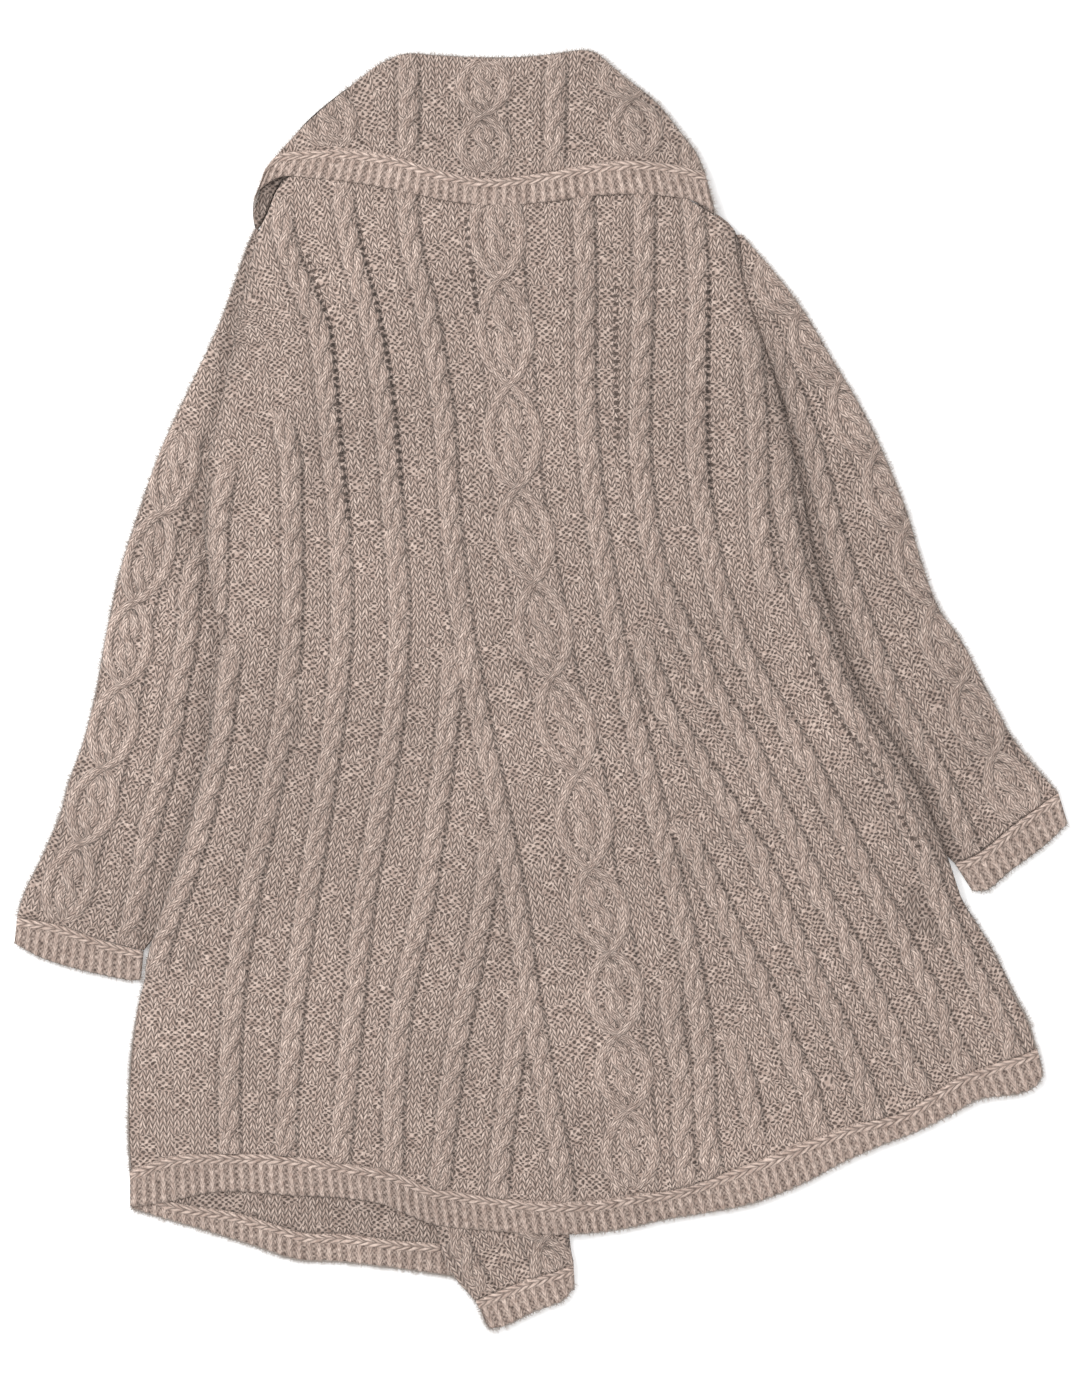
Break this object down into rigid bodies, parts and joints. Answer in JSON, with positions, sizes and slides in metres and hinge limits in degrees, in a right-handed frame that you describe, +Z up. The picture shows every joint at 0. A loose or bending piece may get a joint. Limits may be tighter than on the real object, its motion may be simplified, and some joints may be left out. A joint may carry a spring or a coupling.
{
  "type": "long cardigan",
  "caption": "Long cable-knit wool cardigan with a deep folded collar and ribbed welts, laid flat with its back upwards.",
  "frame": {"origin": "centre of the footprint, on the surface that the cardigan lies on", "axes": "+X towards the wearer's right cuff (the garment's right side seen from its back), +Y from hem to collar, +Z up out of the surface"},
  "size_m": [0.8432, 1.0232, 0.012],
  "materials": {
    "wool_knit": "brushed marled wool, matt",
    "wool_knit_inside": "brushed marled wool, matt, wrong side"
  },
  "bodies": {
    "root": {"back_panel": "wool_knit", "back_welt": "wool_knit", "left_front": "wool_knit_inside", "left_front_welt": "wool_knit_inside", "left_front_flap": "wool_knit", "flap_welt": "wool_knit", "right_front": "wool_knit_inside", "right_front_welt": "wool_knit_inside", "left_sleeve": "wool_knit", "left_cuff": "wool_knit", "right_sleeve": "wool_knit", "right_cuff": "wool_knit", "collar_stand": "wool_knit_inside", "left_collar_front": "wool_knit_inside", "right_collar_front": "wool_knit_inside", "collar_fall": "wool_knit", "collar_welt": "wool_knit"}
  },
  "joints": []
}
